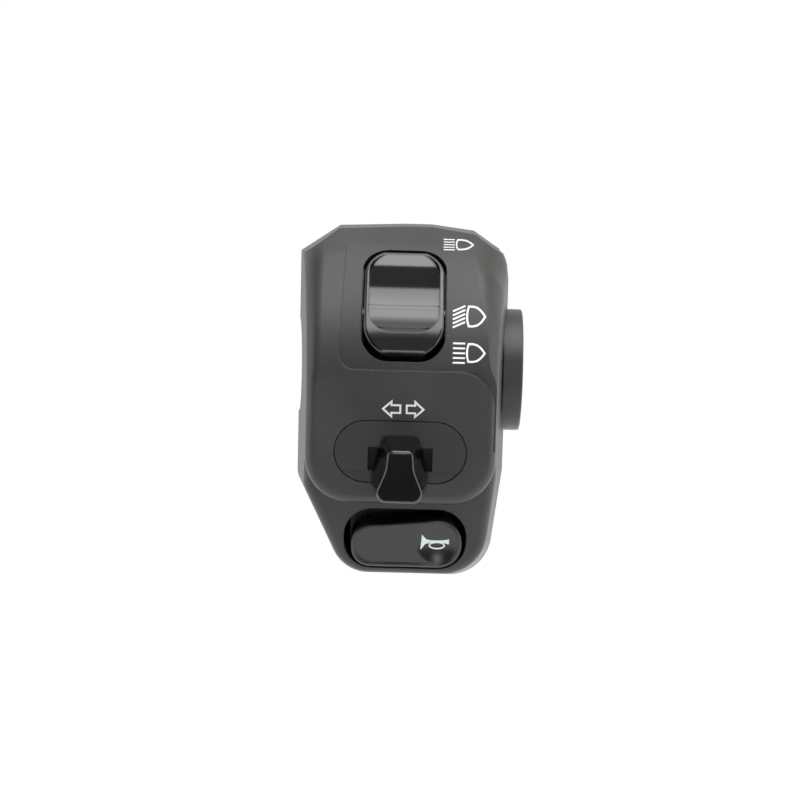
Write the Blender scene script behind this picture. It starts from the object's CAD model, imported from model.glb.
"""Looks of the handlebar switch cluster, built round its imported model."""

import math
import bmesh
import bpy
from bpy.props import (
    FloatProperty,
    FloatVectorProperty,
    PointerProperty,
)
from bpy.types import Operator, Panel, PropertyGroup
from mathutils import Euler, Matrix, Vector
from mathutils.bvhtree import BVHTree


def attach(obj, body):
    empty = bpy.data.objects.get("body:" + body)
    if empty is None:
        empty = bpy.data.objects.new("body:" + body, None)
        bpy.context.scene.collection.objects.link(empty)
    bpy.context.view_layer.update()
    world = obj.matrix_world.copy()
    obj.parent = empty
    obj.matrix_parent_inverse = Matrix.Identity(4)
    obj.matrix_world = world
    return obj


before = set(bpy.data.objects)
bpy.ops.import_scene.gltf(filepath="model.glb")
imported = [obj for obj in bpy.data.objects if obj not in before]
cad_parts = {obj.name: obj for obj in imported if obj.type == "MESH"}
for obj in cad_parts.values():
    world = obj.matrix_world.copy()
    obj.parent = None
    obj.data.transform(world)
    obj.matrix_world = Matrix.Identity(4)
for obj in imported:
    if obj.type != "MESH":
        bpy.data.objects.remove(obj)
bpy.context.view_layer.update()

bl_info = {
    "name": "Handlebar switch cluster",
    "version": (1, 0, 0),
    "blender": (4, 5, 0),
    "location": "View3D > Sidebar > Cluster",
    "description": "Finishes, printed symbols and studio of a handlebar switch cluster",
    "category": "Object",
}

MM = 0.001
FAR_FRONT = -0.2
BUMP_DEPTH = 0.05 * MM
BEVEL_SAMPLES = 4
FINE_DETAIL = 2.0
PICTURE_PIXELS = 800
SENSOR_WIDTH = 36.0

# CAD nodes by finish
GLOSSY = ["dimmer_rocker", "turn_lever"]
SHELL = ["front_case", "rear_case"]
PLATE = ["turn_plate"]
MOULDED = [
    "dimmer_frame",
    "dimmer_contact_slider",
    "turn_carriage",
    "turn_guide_frame",
    "horn_base",
]
ZINC = [
    "case_screw_upper",
    "case_screw_lower",
    "module_screws",
    "dimmer_pivot_pin",
    "horn_pivot_pin",
]
BALLS = ["dimmer_detent_ball", "turn_detent_ball"]
SPRINGS = [
    "dimmer_detent_spring",
    "turn_detent_spring",
    "turn_cancel_spring",
    "horn_return_spring",
]
COPPER = [
    "dimmer_contact_bridge",
    "dimmer_fixed_contacts",
    "turn_contact_bridge",
    "turn_fixed_contacts",
    "horn_contact_bridge",
    "horn_fixed_contacts",
]
BOARDS = ["dimmer_terminal_board", "turn_terminal_board"]

# Inner pieces: nodes, name of the finish, colour, roughness, metallic and grain
INNER_FINISHES = [
    (MOULDED, "inner_plastic", (0.1, 0.1, 0.1), 0.5, 0.0, 0.05),
    (ZINC, "zinc_steel", (0.62, 0.62, 0.6), 0.35, 1.0, 0.1),
    (BALLS, "bright_steel", (0.8, 0.8, 0.8), 0.1, 1.0, 0.05),
    (SPRINGS, "spring_steel", (0.45, 0.45, 0.46), 0.3, 1.0, 0.05),
    (["thread_inserts"], "brass", (0.72, 0.53, 0.22), 0.3, 1.0, 0.05),
    (COPPER, "copper", (0.75, 0.42, 0.26), 0.3, 1.0, 0.05),
    (BOARDS, "terminal_board", (0.3, 0.16, 0.07), 0.6, 0.0, 0.1),
    (["cable_grommet"], "grommet_rubber", (0.03, 0.03, 0.03), 0.75, 0.0, 0.2),
]


class NodeGraph:
    """Small helper that adds nodes and links to one material or world."""

    def __init__(self, owner):
        owner.use_nodes = True
        self.tree = owner.node_tree
        self.tree.nodes.clear()

    def add(self, kind, inputs=None, **settings):
        node = self.tree.nodes.new(kind)
        for key, value in settings.items():
            setattr(node, key, value)
        for key, value in (inputs or {}).items():
            self.set(node, key, value)
        return node

    def set(self, node, key, value):
        if isinstance(value, bpy.types.NodeSocket):
            self.tree.links.new(value, node.inputs[key])
        else:
            node.inputs[key].default_value = value

    def ramp(self, factor, stops):
        node = self.add("ShaderNodeValToRGB", {"Fac": factor})
        ramp = node.color_ramp
        while len(ramp.elements) < len(stops):
            ramp.elements.new(1.0)
        for element, (place, value) in zip(ramp.elements, stops):
            element.position = place
            element.color = (value, value, value, 1.0)
        return node.outputs["Color"]

    def math(self, operation, *values):
        node = self.add("ShaderNodeMath", operation=operation)
        for place, value in enumerate(values):
            self.set(node, place, value)
        return node.outputs[0]

    def mix(self, blend, factor, a, b):
        """Colour mix. The node's colour sockets share their names with its number sockets."""
        node = self.add("ShaderNodeMix", data_type="RGBA", blend_type=blend)
        for place, value in ((0, factor), (6, a), (7, b)):
            self.set(node, place, value)
        return node.outputs[2]


def paint(nodes, material):
    for name in nodes:
        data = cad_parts[name].data
        data.materials.clear()
        data.materials.append(material)


def plain_material(
    name,
    colour,
    roughness,
    metallic=0.0,
    grain=0.05,
    grain_size=0.3,
    coat=0.0,
    edge=0.0,
    sheen=0.5,
    wear=0.04,
    cloud=3.0,
):
    """Finish with slightly uneven tone and polish, fine grain and soft edges. Sizes in mm."""
    material = bpy.data.materials.new(name)
    graph = NodeGraph(material)
    place = graph.add("ShaderNodeTexCoord").outputs["Object"]
    patches = graph.add(
        "ShaderNodeTexNoise", {"Vector": place, "Scale": 1.0 / (cloud * MM), "Detail": FINE_DETAIL}
    )
    tone = graph.ramp(patches.outputs["Fac"], [(0.35, 1.0 - wear), (0.65, 1.0 + wear)])
    base = graph.mix("MULTIPLY", 1.0, (*colour, 1.0), tone)
    polish = graph.math("MULTIPLY_ADD", patches.outputs["Fac"], wear, roughness - wear / 2)
    shader = graph.add(
        "ShaderNodeBsdfPrincipled",
        {
            "Base Color": base,
            "Roughness": polish,
            "Metallic": metallic,
            "Specular IOR Level": sheen,
            "Coat Weight": coat,
        },
    )
    normal = None
    if edge:
        soft = graph.add("ShaderNodeBevel", {"Radius": edge * MM}, samples=BEVEL_SAMPLES)
        normal = soft.outputs["Normal"]
    if grain:
        scale = 1.0 / (grain_size * MM)
        noise = graph.add(
            "ShaderNodeTexNoise", {"Vector": place, "Scale": scale, "Detail": FINE_DETAIL}
        )
        bump = graph.add(
            "ShaderNodeBump",
            {"Strength": grain, "Distance": BUMP_DEPTH, "Height": noise.outputs["Fac"]},
        )
        if normal:
            graph.set(bump, "Normal", normal)
        normal = bump.outputs["Normal"]
    if normal:
        graph.set(shader, "Normal", normal)
    output = graph.add("ShaderNodeOutputMaterial")
    graph.set(output, "Surface", shader.outputs["BSDF"])
    return material


# Uneven tone of the shell, the fade of a speck's edge, and the roughness that the grain adds
CLOUD_SCALE = 60.0
CLOUD_DETAIL = 3.0
CLOUD_TONES = [(0.35, 0.82), (0.65, 1.18)]
SPECK_FADE = [(0.0, 1.0), (0.05, 0.8), (0.075, 0.0)]
GRAIN_ROUGHNESS = 0.12


def shell_material(values):
    """Grained moulding plastic with a few pale dust specks and slightly uneven sheen."""
    material = bpy.data.materials.new("shell_plastic")
    graph = NodeGraph(material)
    place = graph.add("ShaderNodeTexCoord").outputs["Object"]
    grain_scale = 1.0 / (values.grain_size * MM)
    grain = graph.add(
        "ShaderNodeTexNoise", {"Vector": place, "Scale": grain_scale, "Detail": FINE_DETAIL}
    )
    cloud = graph.add(
        "ShaderNodeTexNoise", {"Vector": place, "Scale": CLOUD_SCALE, "Detail": CLOUD_DETAIL}
    )
    speck = graph.add(
        "ShaderNodeTexVoronoi",
        {"Vector": place, "Scale": 1.0 / (values.speck_spacing * MM), "Randomness": 1.0},
    )
    near = graph.ramp(speck.outputs["Distance"], SPECK_FADE)
    chosen = graph.add("ShaderNodeSeparateColor", {"Color": speck.outputs["Color"]})
    picked = graph.math("GREATER_THAN", chosen.outputs["Red"], 1.0 - values.speck_share)
    specks = graph.math("MULTIPLY", near, picked)
    tone = graph.ramp(cloud.outputs["Fac"], CLOUD_TONES)
    colour = graph.mix("MULTIPLY", 1.0, (*values.shell_colour, 1.0), tone)
    dusty = graph.mix("MIX", specks, colour, (*values.speck_colour, 1.0))
    rough = graph.math(
        "MULTIPLY_ADD", grain.outputs["Fac"], GRAIN_ROUGHNESS, values.shell_roughness
    )
    radius = values.edge_softness * MM
    soft = graph.add("ShaderNodeBevel", {"Radius": radius}, samples=BEVEL_SAMPLES)
    bump = graph.add(
        "ShaderNodeBump",
        {
            "Strength": values.grain_strength,
            "Distance": BUMP_DEPTH,
            "Height": grain.outputs["Fac"],
            "Normal": soft.outputs["Normal"],
        },
    )
    shader = graph.add(
        "ShaderNodeBsdfPrincipled",
        {
            "Base Color": dusty,
            "Roughness": rough,
            "Specular IOR Level": values.shell_sheen,
            "Normal": bump.outputs["Normal"],
        },
    )
    output = graph.add("ShaderNodeOutputMaterial")
    graph.set(output, "Surface", shader.outputs["BSDF"])
    return material


class ClusterFinish(PropertyGroup):
    """Sizes and colours of the finishes."""

    shell_colour: FloatVectorProperty(
        name="Shell colour",
        description="Base colour of the moulded housing",
        subtype="COLOR",
        default=(0.0275, 0.0263, 0.0252),
        min=0.0,
        max=1.0,
    )
    shell_roughness: FloatProperty(
        name="Shell roughness", description="Roughness of the moulded housing", default=0.37
    )
    shell_sheen: FloatProperty(
        name="Shell sheen", description="Reflection level of the moulded housing", default=0.46
    )
    grain_size: FloatProperty(
        name="Grain size", description="Size of the moulding grain, in mm", default=0.35
    )
    grain_strength: FloatProperty(
        name="Grain strength", description="How much the grain tilts the light", default=0.25
    )
    edge_softness: FloatProperty(
        name="Edge softness",
        description="Radius that the shell's sharp edges seem to have, in mm",
        default=0.3,
    )
    button_softness: FloatProperty(
        name="Button softness",
        description="Radius that the buttons' edges seem to have, in mm",
        default=0.55,
    )
    horn_softness: FloatProperty(
        name="Horn softness",
        description="Radius that the horn button's edge seems to have, in mm",
        default=0.9,
    )
    speck_spacing: FloatProperty(
        name="Speck spacing",
        description="Distance between places for dust specks, in mm",
        default=1.7,
    )
    speck_share: FloatProperty(
        name="Speck share", description="Share of those places that hold a speck", default=0.22
    )
    speck_colour: FloatVectorProperty(
        name="Speck colour",
        description="Colour of the dust specks",
        subtype="COLOR",
        default=(0.16, 0.16, 0.165),
        min=0.0,
        max=1.0,
    )
    gloss_colour: FloatVectorProperty(
        name="Gloss colour",
        description="Base colour of the polished buttons",
        subtype="COLOR",
        default=(0.004, 0.0037, 0.0036),
        min=0.0,
        max=1.0,
    )
    gloss_roughness: FloatProperty(
        name="Gloss roughness", description="Roughness of the polished buttons", default=0.08
    )
    satin_colour: FloatVectorProperty(
        name="Satin colour",
        description="Base colour of the horn button",
        subtype="COLOR",
        default=(0.009, 0.0086, 0.0082),
        min=0.0,
        max=1.0,
    )
    satin_roughness: FloatProperty(
        name="Satin roughness", description="Roughness of the horn button", default=0.22
    )
    shutter_colour: FloatVectorProperty(
        name="Shutter colour",
        description="Base colour of the shutter behind the lever's slot",
        subtype="COLOR",
        default=(0.014, 0.013, 0.013),
        min=0.0,
        max=1.0,
    )
    plate_colour: FloatVectorProperty(
        name="Plate colour",
        description="Base colour of the plate round the turn signal lever",
        subtype="COLOR",
        default=(0.0195, 0.0184, 0.0176),
        min=0.0,
        max=1.0,
    )


class ClusterPrint(PropertyGroup):
    """Sizes and colour of the printed symbols."""

    lamp_ink: FloatVectorProperty(
        name="Lamp ink",
        description="Colour of the headlamp symbols",
        subtype="COLOR",
        default=(0.88, 0.88, 0.88),
        min=0.0,
        max=1.0,
    )
    flash_ink: FloatVectorProperty(
        name="Flash ink",
        description="Colour of the small headlamp symbol",
        subtype="COLOR",
        default=(0.62, 0.64, 0.64),
        min=0.0,
        max=1.0,
    )
    arrow_ink: FloatVectorProperty(
        name="Arrow ink",
        description="Colour of the turn arrows",
        subtype="COLOR",
        default=(0.74, 0.74, 0.74),
        min=0.0,
        max=1.0,
    )
    horn_ink: FloatVectorProperty(
        name="Horn ink",
        description="Colour of the horn symbol",
        subtype="COLOR",
        default=(0.76, 0.86, 0.86),
        min=0.0,
        max=1.0,
    )
    ink_height: FloatProperty(
        name="Ink height", description="How far the ink stands proud, in mm", default=0.03
    )
    stroke: FloatProperty(
        name="Stroke", description="Width of the symbols' lines, in mm", default=0.42
    )
    fine_stroke: FloatProperty(
        name="Fine stroke", description="Width of the thin lines, in mm", default=0.36
    )


class ClusterStage(PropertyGroup):
    """Camera, light and background."""

    camera_distance: FloatProperty(
        name="Camera distance",
        description="Distance from the bar's axis",
        default=0.5,
        unit="LENGTH",
    )
    camera_place: FloatVectorProperty(
        name="Camera place",
        description="Place of the camera, seen from the bar's axis",
        default=(-0.36 * MM, -493.76 * MM, 79.1 * MM),
        subtype="TRANSLATION",
        unit="LENGTH",
    )
    camera_elevation: FloatProperty(
        name="Camera elevation",
        description="Height of the camera above the level",
        default=math.radians(10.0),
        subtype="ANGLE",
    )
    camera_roll: FloatProperty(
        name="Camera roll",
        description="Roll of the camera",
        default=math.radians(1.5),
        subtype="ANGLE",
    )
    pixel_size: FloatProperty(
        name="Pixel size", description="Width of a pixel at the bar, in mm", default=0.235
    )
    floor_size: FloatProperty(
        name="Floor size", description="Side of the square floor", default=3.0, unit="LENGTH"
    )
    floor_drop: FloatProperty(
        name="Floor drop",
        description="Height of the bar's axis above the floor",
        default=0.5,
        unit="LENGTH",
    )
    floor_glow: FloatProperty(
        name="Floor glow",
        description="Glow that keeps the floor white for the camera",
        default=0.5,
    )
    sky_strength: FloatProperty(
        name="Sky strength", description="Strength of the studio's light", default=0.8
    )


def on_faces(polyline, spacing):
    """Points along a polyline, no further apart than the spacing."""
    points = [Vector(polyline[0])]
    for a, b in zip(polyline, polyline[1:]):
        a, b = Vector(a), Vector(b)
        count = max(1, math.ceil((b - a).length / spacing))
        points += [a.lerp(b, (i + 1) / count) for i in range(count)]
    return points


def tree_of(names):
    """Search tree over the surfaces of these CAD nodes."""
    vertices, polygons = [], []
    for name in names:
        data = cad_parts[name].data
        first = len(vertices)
        vertices += [v.co.copy() for v in data.vertices]
        polygons += [[first + i for i in p.vertices] for p in data.polygons]
    return BVHTree.FromPolygons(vertices, polygons)


# Distances between the points of printed lines and areas, in mm, and the sharpest mitre
LINE_SPACING = 0.25
AREA_SPACING = 0.3
LEAST_MITRE = 0.4


class Printer:
    """Builds thin raised ink on a CAD surface, from lines and areas drawn in the X Z plane."""

    def __init__(self, surface, height):
        self.tree = tree_of([surface])
        self.height = height * MM
        self.mesh = bmesh.new()

    def drop(self, x, z, lift):
        """Point of the surface behind (x, z) in mm, lifted off it."""
        start = Vector((x * MM, FAR_FRONT, z * MM))
        place, normal, _, _ = self.tree.ray_cast(start, Vector((0.0, 1.0, 0.0)))
        if place is None:
            raise RuntimeError(f"no surface behind the print at {x:.2f}, {z:.2f}")
        if normal.y > 0:
            normal = -normal
        return place + normal * lift

    def solid(self, outline_pairs, closed):
        """Closed ribbon between two rows of (x, z) points."""
        rows = []
        for left, right in outline_pairs:
            rows.append(
                [
                    self.mesh.verts.new(self.drop(*left, self.height)),
                    self.mesh.verts.new(self.drop(*right, self.height)),
                    self.mesh.verts.new(self.drop(*right, -self.height)),
                    self.mesh.verts.new(self.drop(*left, -self.height)),
                ]
            )
        pairs = list(zip(rows, rows[1:]))
        if closed:
            pairs.append((rows[-1], rows[0]))
        for a, b in pairs:
            for i in range(4):
                j = (i + 1) % 4
                self.mesh.faces.new((a[i], a[j], b[j], b[i]))
        if not closed:
            self.mesh.faces.new(rows[0])
            self.mesh.faces.new(list(reversed(rows[-1])))

    def line(self, points, width, closed=False):
        """Line of one width through points, with mitred corners."""
        corners = [Vector(p) for p in points]
        ring = corners + [corners[0]] if closed else corners
        path = on_faces(ring, LINE_SPACING)
        if closed:
            path = path[:-1]
        count = len(path)
        pairs = []
        for i, p in enumerate(path):
            before = path[i - 1] if i or closed else p
            after = path[(i + 1) % count] if i + 1 < count or closed else p
            d1 = (p - before).normalized() if (p - before).length else (after - p).normalized()
            d2 = (after - p).normalized() if (after - p).length else d1
            n1, n2 = Vector((-d1.y, d1.x)), Vector((-d2.y, d2.x))
            mitre = (n1 + n2).normalized()
            reach = width / 2 / max(mitre.dot(n1), LEAST_MITRE)
            pairs.append(((p + mitre * reach).to_tuple(), (p - mitre * reach).to_tuple()))
        self.solid(pairs, closed)

    def area(self, upper, lower):
        """Filled area between an upper and a lower row of points with the same count."""
        pairs = []
        for (u0, l0), (u1, l1) in zip(zip(upper, lower), zip(upper[1:], lower[1:])):
            count = max(1, math.ceil((Vector(u1) - Vector(u0)).length / AREA_SPACING))
            for i in range(count):
                share = i / count
                high = Vector(u0).lerp(Vector(u1), share)
                low = Vector(l0).lerp(Vector(l1), share)
                pairs.append((high.to_tuple(), low.to_tuple()))
        pairs.append((tuple(upper[-1]), tuple(lower[-1])))
        self.solid(pairs, False)

    def finish(self, name, material, body):
        bmesh.ops.recalc_face_normals(self.mesh, faces=self.mesh.faces[:])
        data = bpy.data.meshes.new(name)
        self.mesh.to_mesh(data)
        self.mesh.free()
        data.materials.append(material)
        piece = bpy.data.objects.new(name, data)
        bpy.context.scene.collection.objects.link(piece)
        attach(piece, body)
        return piece


def arc(centre, radius_x, radius_z, start, end, count):
    """Points on an ellipse's arc, in degrees."""
    points = []
    for i in range(count + 1):
        a = math.radians(start + (end - start) * i / count)
        points.append((centre[0] + radius_x * math.cos(a), centre[1] + radius_z * math.sin(a)))
    return points


# Headlamp symbol, as shares of its box: where the lens starts, how tall it is and how it bows
LENS_START = 0.4
LENS_RISE = 0.02
LENS_HALF = 0.42
LENS_SHOULDER = 0.18
LENS_CORNERS = (0.05, 0.01)
LENS_BOW = [0.35, 0.62, 0.82, 0.95]
LENS_POWER = 2.1
BEAM_END = 0.37
BEAMS = 5


def lamp_symbol(printer, box, slant, stroke, fine):
    """Headlamp symbol: a pointed lens at the right and five beams at the left, in box mm."""
    x0, x1, z0, z1 = box
    width, height = x1 - x0, z1 - z0
    lens_left = x0 + LENS_START * width + stroke / 2
    middle = (z0 + z1) / 2 + LENS_RISE * height
    half = LENS_HALF * height
    tip = x1 - stroke / 2
    shoulder = lens_left + LENS_SHOULDER * width
    corner, cheek = (lens_left + share * width for share in LENS_CORNERS)
    lens = [(corner, middle + half), (shoulder, middle + half)]
    bow = [
        (shoulder + (tip - shoulder) * share, half * (1 - share**LENS_POWER))
        for share in LENS_BOW
    ]
    lens += [(x, middle + rise) for x, rise in bow]
    lens.append((tip, middle))
    lens += [(x, middle - rise) for x, rise in reversed(bow)]
    lens += [(shoulder, middle - half), (corner, middle - half)]
    lens += [(cheek, middle - half / 2), (lens_left, middle), (cheek, middle + half / 2)]
    printer.line(lens, stroke, closed=True)
    beam_end = x0 + BEAM_END * width
    rise = slant * height
    for i in range(BEAMS):
        z = z1 - fine / 2 - (height - fine - rise) * i / (BEAMS - 1)
        printer.line([(x0, z - rise), (beam_end, z)], fine)


# Mould lines on the lever's plate, in mm, and the roughness of the shutter behind it
MOULD_LINE_HEIGHT = 0.01
MOULD_LINE_WIDTH = 0.14
MOULD_LINE_LEVEL = -18.3
MOULD_LINE_REACH = (7.9, 12.9)
SHUTTER_ROUGHNESS = 0.55


class CLUSTER_OT_shell(Operator):
    """Grained finish of the two housing halves and the lever's plate"""

    bl_idname = "cluster.shell"
    bl_label = "Housing finish"

    def execute(self, context):
        values = context.scene.cluster_finish
        paint(SHELL, shell_material(values))
        plate = plain_material(
            "plate_plastic",
            values.plate_colour,
            values.shell_roughness,
            grain=0.15,
            grain_size=values.grain_size,
            sheen=values.shell_sheen,
        )
        paint(PLATE, plate)
        shutter = plain_material("shutter_plastic", values.shutter_colour, SHUTTER_ROUGHNESS)
        paint(["turn_shutter"], shutter)
        printer = Printer("turn_plate", MOULD_LINE_HEIGHT)
        for side in (-1, 1):
            inner, outer = (reach * side for reach in MOULD_LINE_REACH)
            ends = [(inner, MOULD_LINE_LEVEL), (outer, MOULD_LINE_LEVEL)]
            printer.line(ends, MOULD_LINE_WIDTH)
        printer.finish("plate_mould_lines", shutter, "housing")
        return {"FINISHED"}


class CLUSTER_OT_gloss(Operator):
    """Polished black finish of the rocker, the lever and the horn button"""

    bl_idname = "cluster.gloss"
    bl_label = "Polished buttons"

    def execute(self, context):
        values = context.scene.cluster_finish
        gloss = plain_material(
            "gloss_black",
            values.gloss_colour,
            values.gloss_roughness,
            grain=0.0,
            coat=0.56,
            edge=values.button_softness,
            wear=0.02,
        )
        paint(GLOSSY, gloss)
        satin = plain_material(
            "satin_black",
            values.satin_colour,
            values.satin_roughness,
            grain=0.0,
            edge=values.horn_softness,
            sheen=0.55,
        )
        paint(["horn_button"], satin)
        return {"FINISHED"}


class CLUSTER_OT_inner(Operator):
    """Finishes of the mechanism inside: mouldings, metals, springs, contacts and boards"""

    bl_idname = "cluster.inner"
    bl_label = "Inner pieces"

    def execute(self, context):
        for nodes, name, colour, roughness, metallic, grain in INNER_FINISHES:
            paint(nodes, plain_material(name, colour, roughness, metallic, grain))
        return {"FINISHED"}


# Printed symbols: boxes left, right, low and high, and strokes, in mm
INK_ROUGHNESS = 0.5
FLASH_BOX = (8.6, 15.45, 29.25, 31.45)
FLASH_STROKES = (0.32, 0.2)
LOW_BEAM_BOX = (10.85, 18.2, 13.45, 18.3)
LOW_BEAM_SLANT = 0.24
HIGH_BEAM_BOX = (11.0, 18.2, 6.05, 10.5)


class CLUSTER_OT_lamp_symbols(Operator):
    """Three printed headlamp symbols beside the dimmer"""

    bl_idname = "cluster.lamp_symbols"
    bl_label = "Headlamp symbols"

    def execute(self, context):
        values = context.scene.cluster_print
        lamp_ink = plain_material("lamp_ink", values.lamp_ink, INK_ROUGHNESS)
        flash_ink = plain_material("flash_ink", values.flash_ink, INK_ROUGHNESS)
        bold = (values.stroke, values.fine_stroke, lamp_ink)
        thin = (*FLASH_STROKES, flash_ink)
        for name, box, slant, (stroke, fine, ink) in (
            ("print_flash", FLASH_BOX, 0.0, thin),
            ("print_low_beam", LOW_BEAM_BOX, LOW_BEAM_SLANT, bold),
            ("print_high_beam", HIGH_BEAM_BOX, 0.0, bold),
        ):
            printer = Printer("front_case", values.ink_height)
            lamp_symbol(printer, box, slant, stroke, fine)
            printer.finish(name, ink, "housing")
        return {"FINISHED"}


# Turn arrows: tip and tail of each, and their shared sizes, in mm
ARROWS = ((-4.4, 0.0), (5.23, 0.93))
ARROW_LEVEL = -4.1
ARROW_HEAD_LENGTH = 2.2
ARROW_HEAD_HALF = 1.85
ARROW_SHAFT_HALF = 0.85
ARROW_TIP_INSET = 0.35
ARROW_WING_INSET = 0.2
ARROW_TAIL_INSET = 0.24


class CLUSTER_OT_arrows(Operator):
    """Printed outline arrows above the turn signal lever"""

    bl_idname = "cluster.arrows"
    bl_label = "Turn arrows"

    def execute(self, context):
        values = context.scene.cluster_print
        printer = Printer("front_case", values.ink_height)
        for tip, tail in ARROWS:
            side = 1 if tip > tail else -1
            neck = tip - side * ARROW_HEAD_LENGTH
            tail += side * ARROW_TAIL_INSET
            wing = ARROW_HEAD_HALF - ARROW_WING_INSET
            outline = [
                (tip - side * ARROW_TIP_INSET, ARROW_LEVEL),
                (neck, ARROW_LEVEL + wing),
                (neck, ARROW_LEVEL + ARROW_SHAFT_HALF),
                (tail, ARROW_LEVEL + ARROW_SHAFT_HALF),
                (tail, ARROW_LEVEL - ARROW_SHAFT_HALF),
                (neck, ARROW_LEVEL - ARROW_SHAFT_HALF),
                (neck, ARROW_LEVEL - wing),
            ]
            printer.line(outline, values.stroke, closed=True)
        ink = plain_material("arrow_ink", values.arrow_ink, INK_ROUGHNESS)
        printer.finish("print_turn_arrows", ink, "housing")
        return {"FINISHED"}


# Horn symbol: edges measured from its left end and from its top or foot, and its loop, in mm
HORN_LEFT, HORN_TOP, HORN_FOOT = 5.15, -33.3, -36.85
HORN_UPPER = [
    (0.2, 0.0),
    (0.65, -0.55),
    (1.25, -1.2),
    (2.3, -1.4),
    (4.3, -1.4),
    (5.3, -1.3),
    (6.35, -1.05),
]
HORN_LOWER = [
    (-0.05, 0.0),
    (0.35, 0.45),
    (0.95, 1.25),
    (2.1, 1.6),
    (4.3, 1.6),
    (5.3, 1.55),
    (6.3, 1.3),
]
LOOP_CENTRE = (3.6, 0.95)
LOOP_RADII = (1.7, 0.72)
LOOP_STEPS = 28
LOOP_STROKE = 0.32


class CLUSTER_OT_horn_symbol(Operator):
    """Printed horn on the horn button"""

    bl_idname = "cluster.horn_symbol"
    bl_label = "Horn symbol"

    def execute(self, context):
        values = context.scene.cluster_print
        printer = Printer("horn_button", values.ink_height)
        upper = [(HORN_LEFT + x, HORN_TOP + z) for x, z in HORN_UPPER]
        lower = [(HORN_LEFT + x, HORN_FOOT + z) for x, z in HORN_LOWER]
        printer.area(upper, lower)
        centre = (HORN_LEFT + LOOP_CENTRE[0], HORN_FOOT + LOOP_CENTRE[1])
        loop = arc(centre, *LOOP_RADII, 0, 360, LOOP_STEPS)[:-1]
        printer.line(loop, LOOP_STROKE, closed=True)
        ink = plain_material("horn_ink", values.horn_ink, INK_ROUGHNESS)
        printer.finish("print_horn", ink, "horn")
        return {"FINISHED"}


# Studio light by elevation in degrees: 0 is level in front, 90 overhead and 180 level behind
SKY_BANDS = [
    (-180, 0.6),
    (-40, 0.6),
    (-15, 0.1),
    (5, 0.18),
    (12, 0.45),
    (43, 0.4),
    (47, 5.0),
    (70, 6.4),
    (95, 5.4),
    (112, 2.2),
    (125, 1.2),
    (150, 0.6),
    (180, 0.6),
]
WINDOW_BANDS = [(-9, 0.0), (-6, 6.5), (9.5, 6.5), (11.5, 0.0)]
LAMP_BANDS = [(48, 0.0), (51, 12.0), (78, 12.0), (82, 0.0)]
# Light across the studio: the share runs from 0 at the far left to 1 at the far right
SKY_WIDTH = [(0.0, 0.08), (0.39, 0.1), (0.455, 1.0), (0.76, 1.0), (0.84, 0.15), (1.0, 0.1)]
WINDOW_WIDTH = [(0.465, 0.0), (0.475, 1.0), (0.525, 1.0), (0.535, 0.0)]
LAMP_WIDTH = [(0.735, 0.0), (0.745, 1.0), (0.785, 1.0), (0.795, 0.0)]
SIDE_LIGHT = [(0.0, 2.6), (0.06, 2.6), (0.11, 0.0), (0.89, 0.0), (0.94, 2.6), (1.0, 2.6)]
# Share of white that reflections show, by how far behind the part they look
BACKDROP = [(0.1, 0.0), (0.4, 1.0)]
LEFT_TINT = (0.98, 0.985, 1.03)
RIGHT_TINT = (1.03, 1.0, 0.965)
BRIGHTEST = 12.0


def studio_world(strength):
    """White background, which reflections show too behind the part, and a studio of soft bands."""
    world = bpy.data.worlds.new("studio")
    bpy.context.scene.world = world
    graph = NodeGraph(world)
    direction = graph.add("ShaderNodeTexCoord").outputs["Generated"]
    parts = graph.add("ShaderNodeSeparateXYZ", {"Vector": direction})
    front = graph.math("MULTIPLY", parts.outputs["Y"], -1.0)
    angle = graph.math("ARCTAN2", parts.outputs["Z"], front)
    share = graph.math("MULTIPLY_ADD", angle, 1.0 / (2 * math.pi), 0.5)
    across = graph.math("MULTIPLY_ADD", parts.outputs["X"], 0.5, 0.5)
    light = graph.ramp(across, [(place, value / BRIGHTEST) for place, value in SIDE_LIGHT])
    for bands, width in (
        (SKY_BANDS, SKY_WIDTH),
        (WINDOW_BANDS, WINDOW_WIDTH),
        (LAMP_BANDS, LAMP_WIDTH),
    ):
        stops = [((degrees + 180) / 360, value / BRIGHTEST) for degrees, value in bands]
        band = graph.math("MULTIPLY", graph.ramp(share, stops), graph.ramp(across, width))
        light = graph.math("ADD", light, band)
    tint = graph.mix("MIX", across, (*LEFT_TINT, 1.0), (*RIGHT_TINT, 1.0))
    tinted = graph.mix("MULTIPLY", 1.0, light, tint)
    studio = graph.add("ShaderNodeBackground", {"Color": tinted, "Strength": BRIGHTEST * strength})
    white = graph.add("ShaderNodeBackground", {"Color": (1.0, 1.0, 1.0, 1.0), "Strength": 1.0})
    path = graph.add("ShaderNodeLightPath").outputs
    seen = graph.math("MAXIMUM", path["Is Camera Ray"], path["Is Transmission Ray"])
    backdrop = graph.ramp(parts.outputs["Y"], BACKDROP)
    mirrored = graph.math("MULTIPLY", path["Is Glossy Ray"], backdrop)
    mix = graph.add("ShaderNodeMixShader", {"Fac": graph.math("MAXIMUM", seen, mirrored)})
    graph.tree.links.new(studio.outputs[0], mix.inputs[1])
    graph.tree.links.new(white.outputs[0], mix.inputs[2])
    output = graph.add("ShaderNodeOutputWorld")
    graph.set(output, "Surface", mix.outputs[0])


# Slightly uneven white of the floor
PAPER_SCALE = 3.0
PAPER_TONES = [(0.3, 0.71), (0.7, 0.73)]


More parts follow.
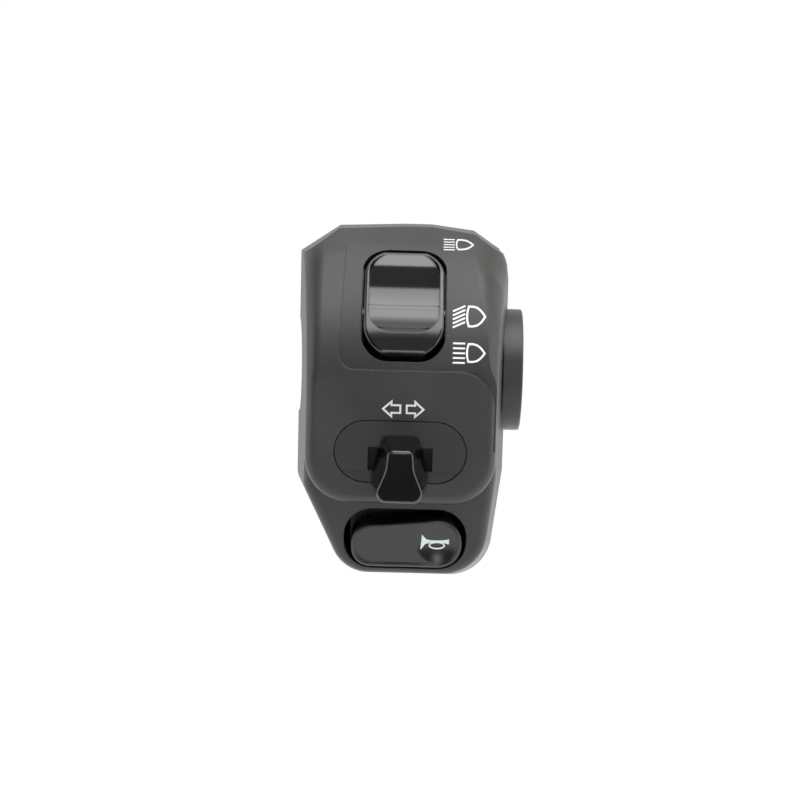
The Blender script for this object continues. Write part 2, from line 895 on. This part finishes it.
def floor_material(glow):
    """Matt white, with a little glow for the camera and for reflections. It keeps shadows."""
    material = bpy.data.materials.new("white_floor")
    graph = NodeGraph(material)
    path = graph.add("ShaderNodeLightPath").outputs
    mirrored = graph.math("MAXIMUM", path["Is Glossy Ray"], path["Is Transmission Ray"])
    seen = graph.math("MAXIMUM", path["Is Camera Ray"], mirrored)
    place = graph.add("ShaderNodeTexCoord").outputs["Object"]
    cloud = graph.add("ShaderNodeTexNoise", {"Vector": place, "Scale": PAPER_SCALE})
    white = graph.ramp(cloud.outputs["Fac"], PAPER_TONES)
    paper = graph.add("ShaderNodeBsdfDiffuse", {"Color": white})
    strength = graph.math("MULTIPLY", seen, glow)
    light = graph.add("ShaderNodeEmission", {"Strength": strength})
    both = graph.add("ShaderNodeAddShader")
    graph.set(both, 0, paper.outputs[0])
    graph.set(both, 1, light.outputs[0])
    output = graph.add("ShaderNodeOutputMaterial")
    graph.set(output, "Surface", both.outputs[0])
    return material


class CLUSTER_OT_stage(Operator):
    """Camera, studio light, floor and white background"""

    bl_idname = "cluster.stage"
    bl_label = "Stage"

    def execute(self, context):
        values = context.scene.cluster_stage
        scene = context.scene
        scene.view_settings.view_transform = "Standard"
        studio_world(values.sky_strength)
        half, height = values.floor_size / 2, -values.floor_drop
        corner_list = [(-half, -half), (half, -half), (half, half), (-half, half)]
        sheet = bpy.data.meshes.new("floor")
        sheet.from_pydata([(x, y, height) for x, y in corner_list], [], [(0, 1, 2, 3)])
        sheet.materials.append(floor_material(values.floor_glow))
        floor = bpy.data.objects.new("floor", sheet)
        scene.collection.objects.link(floor)
        data = bpy.data.cameras.new("camera")
        data.dof.use_dof = False
        data.sensor_width = SENSOR_WIDTH
        plane_width = PICTURE_PIXELS * values.pixel_size * MM
        data.lens = data.sensor_width * values.camera_distance / plane_width
        camera = bpy.data.objects.new("camera", data)
        scene.collection.objects.link(camera)
        scene.camera = camera
        camera.location = values.camera_place
        tilt = math.pi / 2 - values.camera_elevation
        camera.rotation_euler = Euler((tilt, 0.0, 0.0))
        camera.rotation_euler.rotate_axis("Z", values.camera_roll)
        return {"FINISHED"}


class CLUSTER_PT_panel(Panel):
    """Sidebar panel of the cluster's pieces"""

    bl_label = "Switch cluster"
    bl_idname = "CLUSTER_PT_panel"
    bl_space_type = "VIEW_3D"
    bl_region_type = "UI"
    bl_category = "Cluster"

    def draw(self, context):
        layout = self.layout
        scene = context.scene
        for values in (scene.cluster_finish, scene.cluster_print, scene.cluster_stage):
            column = layout.column(align=True)
            for name in type(values).__annotations__:
                column.prop(values, name)
        for operator in OPERATORS:
            layout.operator(operator.bl_idname)


OPERATORS = [
    CLUSTER_OT_shell,
    CLUSTER_OT_gloss,
    CLUSTER_OT_inner,
    CLUSTER_OT_lamp_symbols,
    CLUSTER_OT_arrows,
    CLUSTER_OT_horn_symbol,
    CLUSTER_OT_stage,
]
GROUPS = {
    "cluster_finish": ClusterFinish,
    "cluster_print": ClusterPrint,
    "cluster_stage": ClusterStage,
}


def register():
    for group in GROUPS.values():
        bpy.utils.register_class(group)
    for operator in OPERATORS:
        bpy.utils.register_class(operator)
    bpy.utils.register_class(CLUSTER_PT_panel)
    for name, group in GROUPS.items():
        setattr(bpy.types.Scene, name, PointerProperty(type=group))


def unregister():
    for name in GROUPS:
        delattr(bpy.types.Scene, name)
    bpy.utils.unregister_class(CLUSTER_PT_panel)
    for operator in reversed(OPERATORS):
        bpy.utils.unregister_class(operator)
    for group in reversed(list(GROUPS.values())):
        bpy.utils.unregister_class(group)


def corners(bounds):
    return [list(corner) for corner in bounds]


def main():
    register()
    bpy.ops.cluster.shell()
    bpy.ops.cluster.gloss()
    bpy.ops.cluster.inner()
    bpy.ops.cluster.lamp_symbols()
    bpy.ops.cluster.arrows()
    bpy.ops.cluster.horn_symbol()
    bpy.ops.cluster.stage()


if __name__ == "__main__":
    main()
